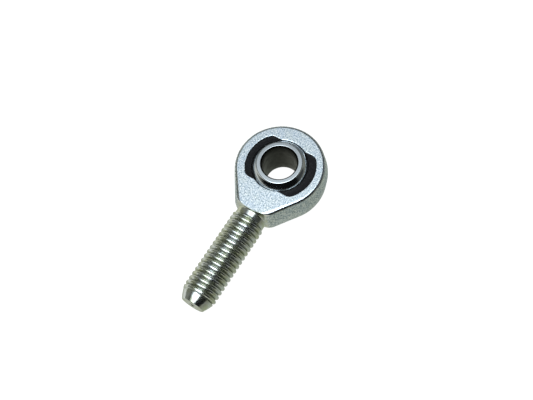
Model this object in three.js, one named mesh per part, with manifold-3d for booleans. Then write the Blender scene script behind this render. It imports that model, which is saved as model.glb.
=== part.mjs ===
// Male rod end bearing of dimension series K, size 12, in millimetres. It comes apart into three
// pieces: a forged eye with a threaded shank, a liner moulded into the eye, and a bored ball that
// tilts in the liner. The origin is the ball's centre, +Z runs along the ball's bore, and the
// shank points along -Y.
import * as THREE from 'three';
import { mergeVertices } from 'three/addons/utils/BufferGeometryUtils.js';
import Module from 'manifold-3d';

const wasm = await Module();
wasm.setup();

// Ball
const BALL_RADIUS = 11.11;
const BALL_HALF_WIDTH = 8;
const BORE_RADIUS = 6;
const BORE_CHAMFER = 0.45;

// Eye of the housing. Its wall leans in from a parting line at half thickness, by the draft, and
// a round edge leads into the flat face. Two flanks run down to the shank, and they run in less
// at the parting line than at the faces, so the eye is wider there where it meets the shank.
const EYE_RADIUS = 16.1;
const EYE_HALF_THICKNESS = 6;
const WALL_DRAFT = 0.6;
const FACE_EDGE_RADIUS = 1.2;
const FACE_FLANK_ANGLE = THREE.MathUtils.degToRad(38);
const PARTING_FLANK_ANGLE = THREE.MathUtils.degToRad(34.3);

// Space inside the eye. The slot lets the ball in edgeways before it is turned flat, and the two
// lips left between the ends of the slot hold the liner in. The slot sits a little towards +X.
const CAVITY_RADIUS = 11.9;
const LIP_SPHERE_RADIUS = 11.36;
const LIP_THICKNESS = 0.9;
const SLOT_RADIUS = 12.1;
const SLOT_HALF_WIDTH = 8.6;
const SLOT_CORNER_RADIUS = 2.6;
const SLOT_OFFSET = 0.3;

// Liner, which keeps clear of the ball and of the steel round it
const LINER_BALL_GAP = 0.14;
const LINER_STEEL_GAP = 0.25;
const LINER_HALF_THICKNESS = 5.8;

// Shank. A turned cone ends the eye, a plain neck follows, and then the M12 thread.
const NECK_RADIUS = 5.45;
const SHOULDER_Y = -18.85;
const SHOULDER_SLOPE = 0.45;
const THREAD_RADIUS = 6;
const THREAD_PITCH = 1.75;
const THREAD_DEPTH = 0.6134 * THREAD_PITCH;
const THREAD_HALF_ANGLE = THREE.MathUtils.degToRad(30);
const THREAD_START_Y = -21;
const TIP_Y = -54.5;
const TIP_RADIUS = 4.2;
const TIP_CHAMFER_LENGTH = 4.2;
const CENTRE_HOLE_RADIUS = 1.1;
const CENTRE_HOLE_DEPTH = 1.3;

// Roundness of the faceted surfaces
const ROUND_SEGMENTS = 40;
const THREAD_SEGMENTS = 20;
const SPHERE_STEPS = 8;
const EDGE_STEPS = 3;

// How far a cutting solid runs past the surface that it cuts
const OVERCUT = 1;

/** Turns a closed indexed surface into a solid. */
function solid(positions, triangles) {
  const mesh = new wasm.Mesh({
    numProp: 3,
    vertProperties: new Float32Array(positions),
    triVerts: new Uint32Array(triangles),
  });
  return new wasm.Manifold(mesh);
}

/** Turns a closed three.js geometry into a solid, without the slivers at its poles. */
function solidOf(geometry) {
  const bare = geometry.clone();
  bare.deleteAttribute('normal');
  bare.deleteAttribute('uv');
  const merged = mergeVertices(bare, 1e-5);
  const index = merged.index.array;
  const triangles = [];
  for (let i = 0; i < index.length; i += 3) {
    const [a, b, c] = index.slice(i, i + 3);
    if (a !== b && b !== c && c !== a) triangles.push(a, b, c);
  }
  return solid(merged.attributes.position.array, triangles);
}

/** Turns a solid into a named mesh with its own material. */
function meshOf(name, body, material) {
  const { numProp, vertProperties, triVerts } = body.getMesh();
  const geometry = new THREE.BufferGeometry();
  geometry.setAttribute('position', new THREE.BufferAttribute(vertProperties, numProp));
  geometry.setIndex(new THREE.BufferAttribute(triVerts, 1));
  const mesh = new THREE.Mesh(geometry, new THREE.MeshStandardMaterial(material));
  mesh.name = name;
  return mesh;
}

/** Spins a profile of [radius, height] points, listed from top to bottom, round the Y axis. */
function turnedGeometry(profile) {
  const points = profile.map(([radius, height]) => new THREE.Vector2(radius, height));
  return new THREE.LatheGeometry(points.reverse(), ROUND_SEGMENTS);
}

/** A turned solid on the axis of the shank. */
function turnedAboutY(profile) {
  return solidOf(turnedGeometry(profile));
}

/** A turned solid on the axis of the ball's bore. */
function turnedAboutZ(profile) {
  return solidOf(turnedGeometry(profile).rotateX(Math.PI / 2));
}

/** Points of a sphere's profile between two heights, as [radius, height]. */
function sphereProfile(radius, fromHeight, toHeight, steps) {
  const from = Math.asin(fromHeight / radius);
  const to = Math.asin(toHeight / radius);
  return Array.from({ length: steps + 1 }, (_, i) => {
    const angle = THREE.MathUtils.lerp(from, to, i / steps);
    return [radius * Math.cos(angle), radius * Math.sin(angle)];
  });
}

/** Outline of the eye at one height: a round that runs into two flanks, which meet at a point. */
function eyeOutline(radius) {
  const inset = (EYE_RADIUS - radius) / (WALL_DRAFT + FACE_EDGE_RADIUS);
  const flank = THREE.MathUtils.lerp(PARTING_FLANK_ANGLE, FACE_FLANK_ANGLE, inset);
  const outline = Array.from({ length: ROUND_SEGMENTS + 1 }, (_, i) => {
    const angle = THREE.MathUtils.lerp(-flank, Math.PI + flank, i / ROUND_SEGMENTS);
    return [radius * Math.cos(angle), radius * Math.sin(angle)];
  });
  outline.push([0, -radius / Math.sin(flank)]);
  return outline;
}

/** Levels of the eye's wall from the bottom face to the top one, as [outline radius, height]. */
function eyeLevels() {
  const upper = Array.from({ length: EDGE_STEPS + 1 }, (_, i) => {
    const angle = (Math.PI / 2) * (i / EDGE_STEPS);
    const inset = WALL_DRAFT + FACE_EDGE_RADIUS * (1 - Math.cos(angle));
    const drop = FACE_EDGE_RADIUS * (1 - Math.sin(angle));
    return [EYE_RADIUS - inset, EYE_HALF_THICKNESS - drop];
  });
  const lower = upper.map(([radius, height]) => [radius, -height]).reverse();
  return [...lower, [EYE_RADIUS, 0], ...upper];
}

/** The eye as a stack of outlines, with a flat cap at each end. */
function eyeBlank() {
  const positions = [];
  const levels = eyeLevels();
  for (const [radius, height] of levels) {
    for (const [x, y] of eyeOutline(radius)) positions.push(x, y, height);
  }
  const count = ROUND_SEGMENTS + 2;
  const triangles = [];
  for (let level = 0; level < levels.length - 1; level++) {
    for (let i = 0; i < count; i++) {
      const here = level * count + i;
      const next = level * count + ((i + 1) % count);
      triangles.push(here, next, next + count, here, next + count, here + count);
    }
  }
  const top = (levels.length - 1) * count;
  for (let i = 1; i < count - 1; i++) {
    triangles.push(0, i + 1, i, top, top + i, top + i + 1);
  }
  return solid(positions, triangles);
}

/** The turned shape that ends the eye in a cone above the neck. */
function shoulderEnvelope() {
  const reach = 2 * EYE_RADIUS;
  const coneTopY = SHOULDER_Y + (reach - NECK_RADIUS) * SHOULDER_SLOPE;
  return turnedAboutY([
    [0, reach],
    [reach, reach],
    [reach, coneTopY],
    [NECK_RADIUS, SHOULDER_Y],
    [0, SHOULDER_Y],
  ]);
}

/** The round space for the liner: a sphere, closed in at each face by a thin lip. */
function cavity() {
  const above = EYE_HALF_THICKNESS + OVERCUT;
  const behindLip = EYE_HALF_THICKNESS - LIP_THICKNESS;
  const lip = sphereProfile(LIP_SPHERE_RADIUS, EYE_HALF_THICKNESS, behindLip, EDGE_STEPS);
  const mouth = [[0, above], [lip[0][0], above], ...lip];
  const mirrored = mouth.map(([radius, height]) => [radius, -height]).reverse();
  return turnedAboutZ([
    ...mouth,
    ...sphereProfile(CAVITY_RADIUS, behindLip, -behindLip, SPHERE_STEPS),
    ...mirrored,
  ]);
}

/** The ball's way in: a round hole with two flat sides and round corners. */
function slot(inset, halfThickness) {
  const radius = SLOT_RADIUS - inset;
  const side = SLOT_HALF_WIDTH - inset;
  const corner = SLOT_CORNER_RADIUS - inset;
  const cornerY = side - corner;
  const cornerX = Math.sqrt((radius - corner) ** 2 - cornerY ** 2);
  const turn = Math.atan2(cornerY, cornerX);
  const shape = new THREE.Shape();
  shape.absarc(0, 0, radius, -turn, turn);
  shape.absarc(cornerX, cornerY, corner, turn, Math.PI / 2);
  shape.absarc(-cornerX, cornerY, corner, Math.PI / 2, Math.PI - turn);
  shape.absarc(0, 0, radius, Math.PI - turn, Math.PI + turn);
  shape.absarc(-cornerX, -cornerY, corner, Math.PI + turn, 1.5 * Math.PI);
  shape.absarc(cornerX, -cornerY, corner, 1.5 * Math.PI, 2 * Math.PI - turn);
  const depth = 2 * halfThickness;
  const geometry = new THREE.ExtrudeGeometry(shape, { depth, bevelEnabled: false });
  return solidOf(geometry.translate(SLOT_OFFSET, 0, -halfThickness));
}

/** A right-handed 60 degree thread as a closed solid. It starts and ends past the real one. */
function threadedRod() {
  const rootRadius = THREAD_RADIUS - THREAD_DEPTH;
  const crestWidth = THREAD_PITCH / 8;
  const flankWidth = THREAD_DEPTH * Math.tan(THREAD_HALF_ANGLE);
  const rows = [
    [THREAD_RADIUS, 0],
    [THREAD_RADIUS, crestWidth],
    [rootRadius, crestWidth + flankWidth],
    [rootRadius, THREAD_PITCH - flankWidth],
  ];
  const startY = THREAD_START_Y + 2 * THREAD_PITCH;
  const turns = Math.ceil((startY - TIP_Y) / THREAD_PITCH) + 1;
  const columns = THREAD_SEGMENTS * turns;
  const positions = [];
  for (let column = 0; column <= columns + THREAD_SEGMENTS; column++) {
    const angle = (2 * Math.PI * column) / THREAD_SEGMENTS;
    const lead = startY - (THREAD_PITCH * column) / THREAD_SEGMENTS;
    for (const [radius, offset] of column <= columns ? rows : rows.slice(0, 1)) {
      positions.push(-radius * Math.sin(angle), lead - offset, radius * Math.cos(angle));
    }
  }

  // The row after a turn's last one is the first row of the next turn.
  const vertex = (column, row) => {
    const turn = row === rows.length ? column + THREAD_SEGMENTS : column;
    const full = Math.min(turn, columns + 1) * rows.length;
    return full + Math.max(turn - columns - 1, 0) + (row % rows.length);
  };
  const triangles = [];
  for (let column = 0; column < columns; column++) {
    for (let row = 0; row < rows.length; row++) {
      const [a, b] = [vertex(column, row), vertex(column + 1, row)];
      const [c, d] = [vertex(column + 1, row + 1), vertex(column, row + 1)];
      triangles.push(a, b, c, a, c, d);
    }
  }

  // Each end is a fan round a point on the axis.
  const endLoop = (column) => [
    ...Array.from({ length: THREAD_SEGMENTS + 1 }, (_, i) => vertex(column + i, 0)),
    ...rows.map((_, i) => vertex(column, i)).slice(1).reverse(),
  ];
  const cap = (loop, y) => {
    const centre = positions.length / 3;
    positions.push(0, y, 0);
    loop.forEach((from, i) => triangles.push(centre, from, loop[(i + 1) % loop.length]));
  };
  const endY = startY - THREAD_PITCH * turns;
  cap(endLoop(0).reverse(), startY);
  cap(endLoop(columns), endY - THREAD_PITCH);
  return solid(positions, triangles);
}

/** The neck and the thread, with the chamfers that start and end the thread. */
function shank() {
  const chamferSlope = (THREAD_RADIUS - TIP_RADIUS) / TIP_CHAMFER_LENGTH;
  const clearRadius = THREAD_RADIUS + OVERCUT;
  const neckEndY = THREAD_START_Y - THREAD_PITCH / 4;
  const neckTopY = SHOULDER_Y + 2 * OVERCUT;
  const blank = turnedAboutY([
    [0, THREAD_START_Y],
    [NECK_RADIUS, THREAD_START_Y],
    [clearRadius, THREAD_START_Y - (clearRadius - NECK_RADIUS)],
    [clearRadius, TIP_Y + (clearRadius - TIP_RADIUS) / chamferSlope],
    [TIP_RADIUS, TIP_Y],
    [0, TIP_Y],
  ]);
  const neck = turnedAboutY([
    [0, neckTopY],
    [NECK_RADIUS, neckTopY],
    [NECK_RADIUS, neckEndY],
    [0, neckEndY],
  ]);
  const centreHole = turnedAboutY([
    [0, TIP_Y + CENTRE_HOLE_DEPTH],
    [CENTRE_HOLE_RADIUS, TIP_Y + CENTRE_HOLE_DEPTH - CENTRE_HOLE_RADIUS / 2],
    [CENTRE_HOLE_RADIUS, TIP_Y - OVERCUT],
    [0, TIP_Y - OVERCUT],
  ]);
  return threadedRod().intersect(blank).add(neck).subtract(centreHole);
}

/** The forged eye and its shank, in one piece. */
function housing() {
  return eyeBlank()
    .intersect(shoulderEnvelope())
    .add(shank())
    .subtract(cavity())
    .subtract(slot(0, EYE_HALF_THICKNESS + OVERCUT));
}

/** The liner: a thin ring behind the lips, with a lobe in each end of the slot. */
function liner() {
  const ringHeight = EYE_HALF_THICKNESS - LIP_THICKNESS - LINER_STEEL_GAP;
  const outerRadius = CAVITY_RADIUS - LINER_STEEL_GAP;
  const innerRadius = BALL_RADIUS + LINER_BALL_GAP;
  const ring = turnedAboutZ([
    [0, ringHeight],
    ...sphereProfile(outerRadius, ringHeight, -ringHeight, SPHERE_STEPS),
    [0, -ringHeight],
  ]);
  const seat = turnedAboutZ(sphereProfile(innerRadius, innerRadius, -innerRadius, 2 * SPHERE_STEPS));
  return ring.add(slot(LINER_STEEL_GAP, LINER_HALF_THICKNESS)).subtract(seat);
}

/** The ball: a sphere with two flat rims and a chamfered bore through them. */
function ball() {
  const boreEnd = BALL_HALF_WIDTH - BORE_CHAMFER;
  const blank = turnedAboutZ([
    [0, BALL_HALF_WIDTH],
    ...sphereProfile(BALL_RADIUS, BALL_HALF_WIDTH, -BALL_HALF_WIDTH, SPHERE_STEPS),
    [0, -BALL_HALF_WIDTH],
  ]);
  const mouthRadius = BORE_RADIUS + BORE_CHAMFER + OVERCUT;
  const bore = turnedAboutZ([
    [0, BALL_HALF_WIDTH + OVERCUT],
    [mouthRadius, BALL_HALF_WIDTH + OVERCUT],
    [BORE_RADIUS, boreEnd],
    [BORE_RADIUS, -boreEnd],
    [mouthRadius, -BALL_HALF_WIDTH - OVERCUT],
    [0, -BALL_HALF_WIDTH - OVERCUT],
  ]);
  return blank.subtract(bore);
}

const zincPlatedSteel = { color: 0xc4ced3, metalness: 0.9, roughness: 0.35 };
const blackNylon = { color: 0x262425, metalness: 0, roughness: 0.55 };
const groundSteel = { color: 0xc8cbd2, metalness: 1, roughness: 0.15 };

const rodEnd = new THREE.Group();
rodEnd.add(meshOf('housing', housing(), zincPlatedSteel));
rodEnd.add(meshOf('liner', liner(), blackNylon));
rodEnd.add(meshOf('ball', ball(), groundSteel));

export default rodEnd;
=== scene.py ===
"""Male rod end bearing, dimension series K, size 12, dressed over its CAD frame.

The object is three pieces: a zinc plated forging (an eye with a threaded shank), a black nylon
liner moulded into the eye, and a bored steel ball that tilts in the liner. Sizes in the classes
are millimetres; meshes are made in metres, in the CAD frame: the origin is the ball's centre, +Z
runs along the ball's bore and the shank points along -Y.
"""

import logging
import math
from dataclasses import dataclass, field
from enum import Enum
from typing import Any, Callable, Sequence

import bmesh
import bpy
import numpy as np
from mathutils import Matrix, Vector, noise


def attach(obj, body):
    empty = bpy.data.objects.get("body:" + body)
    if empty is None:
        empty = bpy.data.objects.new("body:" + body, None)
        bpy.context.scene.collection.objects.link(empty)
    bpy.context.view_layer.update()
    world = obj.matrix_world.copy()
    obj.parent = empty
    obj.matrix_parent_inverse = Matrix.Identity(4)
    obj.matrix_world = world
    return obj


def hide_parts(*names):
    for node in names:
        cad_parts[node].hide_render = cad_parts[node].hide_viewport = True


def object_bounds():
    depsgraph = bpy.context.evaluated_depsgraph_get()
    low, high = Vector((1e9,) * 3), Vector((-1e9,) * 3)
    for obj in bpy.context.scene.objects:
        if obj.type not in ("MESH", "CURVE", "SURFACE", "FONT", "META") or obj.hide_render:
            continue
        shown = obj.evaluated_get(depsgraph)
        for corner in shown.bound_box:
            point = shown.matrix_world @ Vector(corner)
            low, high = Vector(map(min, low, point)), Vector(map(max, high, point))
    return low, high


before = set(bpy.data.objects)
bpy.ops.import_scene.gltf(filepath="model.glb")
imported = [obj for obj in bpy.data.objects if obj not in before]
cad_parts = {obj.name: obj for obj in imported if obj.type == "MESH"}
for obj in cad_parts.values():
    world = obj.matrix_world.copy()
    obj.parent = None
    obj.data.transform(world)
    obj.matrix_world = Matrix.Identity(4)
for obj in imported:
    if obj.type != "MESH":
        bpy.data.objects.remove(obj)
CAD_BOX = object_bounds()

MM = 0.001
WELD_MM = 0.002
LOG = logging.getLogger("rod_end")

# Most values of a noise texture lie between these two.
NOISE_SPREAD = (0.3, 0.7)

Loop = np.ndarray
Profile = list[tuple[float, float]]


class Slot(Enum):
    """Names of the three material slots."""

    ZINC = "zinc_plated_steel"
    NYLON = "black_nylon"
    BEARING_STEEL = "ground_bearing_steel"


def linear(colour: str) -> tuple[float, float, float, float]:
    """Turn an sRGB hex colour into linear light.

    Args:
        colour: Six hex digits after a hash.

    Returns:
        Linear red, green and blue, with an alpha of one.
    """
    parts = (int(colour[i : i + 2], 16) / 255 for i in (1, 3, 5))
    light = (c / 12.92 if c <= 0.04045 else ((c + 0.055) / 1.055) ** 2.4 for c in parts)
    return (*light, 1.0)


def add_node(
    tree: bpy.types.NodeTree, kind: str, inputs: Any = (), **settings: Any
) -> bpy.types.Node:
    """Add one node to a tree.

    Args:
        tree: The tree that gets the node.
        kind: The node's type name.
        inputs: Values or source sockets, in socket order or keyed by socket name or number.
            None leaves a socket as it is.
        **settings: Properties of the node itself.

    Returns:
        The new node.
    """
    node = tree.nodes.new(kind)
    for name, value in settings.items():
        setattr(node, name, value)
    pairs = inputs.items() if isinstance(inputs, dict) else enumerate(inputs)
    for key, value in pairs:
        if isinstance(value, bpy.types.NodeSocket):
            tree.links.new(value, node.inputs[key])
        elif value is not None:
            node.inputs[key].default_value = value
    return node


# ---------------------------------------------------------------------------------------------
# Finishes
# ---------------------------------------------------------------------------------------------


@dataclass(frozen=True)
class Finish:
    """A surface finish. Its pattern gives the values and sockets that go into the shader."""

    name: str

    def pattern(self, tree: bpy.types.NodeTree) -> dict[str, Any]:
        """Build the pattern's nodes, and give the shader's inputs. Each finish has its own."""
        raise NotImplementedError

    def material(self) -> bpy.types.Material:
        """Make the material of this finish.

        Returns:
            The material.
        """
        material = bpy.data.materials.new(self.name)
        material.use_nodes = True
        tree = material.node_tree
        tree.nodes.clear()
        shader = add_node(tree, "ShaderNodeBsdfPrincipled", self.pattern(tree))
        add_node(tree, "ShaderNodeOutputMaterial", {"Surface": shader.outputs["BSDF"]})
        return material

    def toned_relief(
        self,
        tree: bpy.types.NodeTree,
        share: bpy.types.NodeSocket,
        tones: tuple[str, str],
        height: bpy.types.NodeSocket,
        relief: tuple[float, Any],
    ) -> dict[str, Any]:
        """Mix two tones and raise a fine relief.

        Args:
            tree: The material's tree.
            share: How much of the second tone shows, from 0 to 1.
            tones: The two tones, as sRGB hex.
            height: The relief's height, from 0 to 1.
            relief: How high the relief is in millimetres, and how strongly it shows.

        Returns:
            The shader's base colour and normal.
        """
        colour = add_node(
            tree,
            "ShaderNodeMix",
            {"Factor": share, "A": linear(tones[0]), "B": linear(tones[1])},
            data_type="RGBA",
        )
        bump = add_node(
            tree,
            "ShaderNodeBump",
            {"Strength": relief[1], "Distance": relief[0] * MM, "Height": height},
        )
        return {"Base Color": colour.outputs["Result"], "Normal": bump.outputs["Normal"]}


@dataclass(frozen=True)
class BlastedZinc(Finish):
    """Forged steel, grit blasted and then zinc plated with a clear blue passivation.

    The blasting gives a fine, evenly rough grain, with painted glints: its highest points are
    painted near white, as single facets that catch the light. The passivation gives a cool tint
    that drifts from blue to green. Real grit leaves pits of about 0.1 mm, which are too fine to
    show, so they are drawn about 0.5 mm across. The round edges of the eye are worn smoother
    than its faces, so they mirror the light as a bright line.
    """

    cool: str = "#c4d2e4"
    green: str = "#d8ded8"
    # Painted glints: the near-white tone on the grain's highest points.
    painted_glint: str = "#fbfcfb"
    pit: str = "#8f9da6"
    grit_mm: float = 0.5
    drift_mm: float = 3.2
    pit_levels: tuple[float, float] = (0.48, 0.36)
    pit_share: float = 0.9
    painted_glint_levels: tuple[float, float] = (0.5, 0.64)
    roughness_low: float = 0.36
    roughness_high: float = 0.5
    edge_roughness: float = 0.2
    edge_start_mm: tuple[float, float] = (4.6, 5.0)
    edge_end_mm: tuple[float, float] = (5.985, 5.94)
    relief_mm: float = 0.03
    relief_strength: float = 0.6
    edge_relief_strength: float = 0.1

    def pattern(self, tree: bpy.types.NodeTree) -> dict[str, Any]:
        """Build the grain, the painted glints and the drift of tint.

        Args:
            tree: The material's tree.

        Returns:
            The shader's inputs.
        """
        place = add_node(tree, "ShaderNodeTexCoord").outputs["Object"]
        grit = add_node(
            tree,
            "ShaderNodeTexNoise",
            {"Vector": place, "Scale": 1 / (self.grit_mm * MM), "Detail": 2.5, "Roughness": 0.6},
        ).outputs["Fac"]
        drift = add_node(
            tree,
            "ShaderNodeTexNoise",
            {"Vector": place, "Scale": 1 / (self.drift_mm * MM), "Detail": 2.0},
        )
        # Darker pits where the grain is lowest, and painted glints where it is highest.
        pits, painted_glints = (
            add_node(
                tree,
                "ShaderNodeMapRange",
                (grit, *levels, 0.0, most),
                interpolation_type="SMOOTHSTEP",
            ).outputs["Result"]
            for levels, most in ((self.pit_levels, self.pit_share), (self.painted_glint_levels, 1.0))
        )
        colour: Any = linear(self.cool)
        layers = ((drift.outputs["Fac"], self.green), (pits, self.pit), (painted_glints, self.painted_glint))
        for share, tone in layers:
            colour = add_node(
                tree,
                "ShaderNodeMix",
                {"Factor": share, "A": colour, "B": linear(tone)},
                data_type="RGBA",
            ).outputs["Result"]
        grain = add_node(
            tree,
            "ShaderNodeMapRange",
            (grit, *NOISE_SPREAD, self.roughness_high, self.roughness_low),
        )
        worn = self.worn_edge(tree, place)
        roughness = add_node(
            tree,
            "ShaderNodeMix",
            (worn, None, grain.outputs["Result"], self.edge_roughness),
        )
        strength = add_node(
            tree,
            "ShaderNodeMapRange",
            (worn, 0.0, 1.0, self.relief_strength, self.edge_relief_strength),
        )
        relief = add_node(
            tree,
            "ShaderNodeBump",
            {
                "Strength": strength.outputs["Result"],
                "Distance": self.relief_mm * MM,
                "Height": grit,
            },
        )
        return {
            "Base Color": colour,
            "Metallic": 1.0,
            "Roughness": roughness.outputs[0],
            "Normal": relief.outputs["Normal"],
        }

    def worn_edge(
        self, tree: bpy.types.NodeTree, place: bpy.types.NodeSocket
    ) -> bpy.types.NodeSocket:
        """Mark the heights of the eye's round edges, between its walls and its faces.

        Args:
            tree: The material's tree.
            place: Position on the object.

        Returns:
            A value that is 1 on the edges and 0 elsewhere.
        """
        parts = add_node(tree, "ShaderNodeSeparateXYZ", (place,))
        level = add_node(tree, "ShaderNodeMath", (parts.outputs["Z"],), operation="ABSOLUTE")
        shares = [
            add_node(
                tree,
                "ShaderNodeMapRange",
                (level.outputs[0], low * MM, high * MM),
                interpolation_type="SMOOTHSTEP",
            ).outputs["Result"]
            for low, high in (self.edge_start_mm, self.edge_end_mm)
        ]
        return add_node(tree, "ShaderNodeMath", shares, operation="MULTIPLY").outputs[0]


@dataclass(frozen=True)
class SmoothZinc(Finish):
    """Zinc plate over smooth steel, nearly neutral, with soft patches of a straw cast.

    The plate follows the surface under it, so the fine rings left round the shank by the tool
    or by the rolling dies run through it, and it mirrors its surroundings softly. Real rings are
    under 0.05 mm apart, which is too fine to show, so they are drawn 0.3 mm apart, or 0.12 mm on
    the thread.
    """

    zinc: str = "#dde1e0"
    straw: str = "#cbcfb8"
    ring_mm: float = 0.3
    ring_length_mm: float = 9.0
    drift_mm: float = 2.4
    straw_levels: tuple[float, float] = (0.35, 0.65)
    roughness_low: float = 0.16
    roughness_high: float = 0.24
    relief_mm: float = 0.004
    relief_strength: float = 0.3

    def pattern(self, tree: bpy.types.NodeTree) -> dict[str, Any]:
        """Build the rings round the shank and the drift of tint.

        Args:
            tree: The material's tree.

        Returns:
            The shader's inputs.
        """
        place = add_node(tree, "ShaderNodeTexCoord").outputs["Object"]
        along = 1 / (self.ring_mm * MM)
        across = 1 / (self.ring_length_mm * MM)
        stretched = add_node(
            tree, "ShaderNodeMapping", {"Vector": place, "Scale": (across, along, across)}
        )
        rings = add_node(
            tree,
            "ShaderNodeTexNoise",
            {"Vector": stretched.outputs["Vector"], "Scale": 1.0, "Detail": 1.0},
        )
        drift = add_node(
            tree,
            "ShaderNodeTexNoise",
            {"Vector": place, "Scale": 1 / (self.drift_mm * MM), "Detail": 3.0},
        ).outputs["Fac"]
        cast = add_node(
            tree,
            "ShaderNodeMapRange",
            (drift, *self.straw_levels),
            interpolation_type="SMOOTHSTEP",
        )
        roughness = add_node(
            tree,
            "ShaderNodeMapRange",
            (drift, *NOISE_SPREAD, self.roughness_low, self.roughness_high),
        )
        look = self.toned_relief(
            tree,
            cast.outputs["Result"],
            (self.zinc, self.straw),
            rings.outputs["Fac"],
            (self.relief_mm, self.relief_strength),
        )
        return look | {"Metallic": 1.0, "Roughness": roughness.outputs["Result"]}


@dataclass(frozen=True)
class RolledZinc(SmoothZinc):
    """Zinc plate over a rolled thread, with painted shade in the roots.

    The flanks and crests stay bright, and the roots are painted a dull dark olive as shade, and
    made rougher.
    """

    # Painted shade: the dull dark olive of the thread's roots.
    painted_root_shade: str = "#84867a"
    root_roughness: float = 0.45
    root_shade_radii_mm: tuple[float, float] = (5.4, 5.15)
    ring_mm: float = 0.12
    relief_mm: float = 0.04
    relief_strength: float = 1.0

    def pattern(self, tree: bpy.types.NodeTree) -> dict[str, Any]:
        """Add painted shade in the roots, and more roughness there, to the pattern of the smooth
        plate.

        Args:
            tree: The material's tree.

        Returns:
            The shader's inputs.
        """
        plate = super().pattern(tree)
        place = add_node(tree, "ShaderNodeTexCoord").outputs["Object"]
        flat = add_node(tree, "ShaderNodeVectorMath", (place, (1, 0, 1)), operation="MULTIPLY")
        radius = add_node(
            tree, "ShaderNodeVectorMath", (flat.outputs["Vector"],), operation="LENGTH"
        )
        # Painted shade: inside these radii the roots darken to the olive and grow rougher.
        start, full = (radius_mm * MM for radius_mm in self.root_shade_radii_mm)
        depth = add_node(
            tree,
            "ShaderNodeMapRange",
            (radius.outputs["Value"], start, full),
            interpolation_type="SMOOTHSTEP",
        ).outputs["Result"]
        colour = add_node(
            tree,
            "ShaderNodeMix",
            {"Factor": depth, "A": plate["Base Color"], "B": linear(self.painted_root_shade)},
            data_type="RGBA",
        )
        roughness = add_node(
            tree, "ShaderNodeMix", (depth, None, plate["Roughness"], self.root_roughness)
        )
        return plate | {"Base Color": colour.outputs["Result"], "Roughness": roughness.outputs[0]}


@dataclass(frozen=True)
class GroundSteel(Finish):
    """Hardened bearing steel, ground round the bore's axis.

    Grinding leaves very fine rings round that axis, which stretch the mirror image a little
    along the radius. Real ones are a few microns apart, so they are drawn 0.12 mm apart.
    """

    light: str = "#cfd3d4"
    shade: str = "#bec3c6"
    ring_mm: float = 0.12
    roughness: float = 0.12
    relief_mm: float = 0.0015
    relief_strength: float = 0.25

    def pattern(self, tree: bpy.types.NodeTree) -> dict[str, Any]:
        """Build the rings round the bore's axis.

        Args:
            tree: The material's tree.

        Returns:
            The shader's inputs.
        """
        place = add_node(tree, "ShaderNodeTexCoord").outputs["Object"]
        flat = add_node(tree, "ShaderNodeVectorMath", (place, (1, 1, 0)), operation="MULTIPLY")
        radius = add_node(
            tree, "ShaderNodeVectorMath", (flat.outputs["Vector"],), operation="LENGTH"
        )
        parts = add_node(tree, "ShaderNodeSeparateXYZ", (place,))
        spread = add_node(
            tree, "ShaderNodeCombineXYZ", (radius.outputs["Value"], parts.outputs["Z"])
        )
        rings = add_node(
            tree,
            "ShaderNodeTexNoise",
            {"Vector": spread.outputs["Vector"], "Scale": 1 / (self.ring_mm * MM), "Detail": 1.5},
            noise_dimensions="2D",
        ).outputs["Fac"]
        relief = (self.relief_mm, self.relief_strength)
        look = self.toned_relief(tree, rings, (self.light, self.shade), rings, relief)
        return look | {"Metallic": 1.0, "Roughness": self.roughness}


@dataclass(frozen=True)
class DarkBore(Finish):
    """Steel bore, turned and hardened, drawn almost black with a brown cast.

    It is worn lighter in soft patches where a gauge has rubbed it. The tool's feed leaves rings
    0.25 mm apart.
    """

    near_black: str = "#1b1a17"
    worn: str = "#2f2e29"
    patch_mm: float = 1.6
    ring_mm: float = 0.25
    roughness_low: float = 0.28
    roughness_high: float = 0.45
    relief_mm: float = 0.01
    relief_strength: float = 0.3

    def pattern(self, tree: bpy.types.NodeTree) -> dict[str, Any]:
        """Build the worn patches and the rings of the turning tool.

        Args:
            tree: The material's tree.

        Returns:
            The shader's inputs.
        """
        place = add_node(tree, "ShaderNodeTexCoord").outputs["Object"]
        patches = add_node(
            tree,
            "ShaderNodeTexNoise",
            {"Vector": place, "Scale": 1 / (self.patch_mm * MM), "Detail": 4.0},
        ).outputs["Fac"]
        parts = add_node(tree, "ShaderNodeSeparateXYZ", (place,))
        rings = add_node(
            tree,
            "ShaderNodeTexNoise",
            {"W": parts.outputs["Z"], "Scale": 1 / (self.ring_mm * MM), "Detail": 1.0},
            noise_dimensions="1D",
        ).outputs["Fac"]
        roughness = add_node(
            tree,
            "ShaderNodeMapRange",
            (patches, *NOISE_SPREAD, self.roughness_high, self.roughness_low),
        )
        relief = (self.relief_mm, self.relief_strength)
        look = self.toned_relief(tree, patches, (self.near_black, self.worn), rings, relief)
        return look | {"Metallic": 1.0, "Roughness": roughness.outputs["Result"]}


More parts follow.
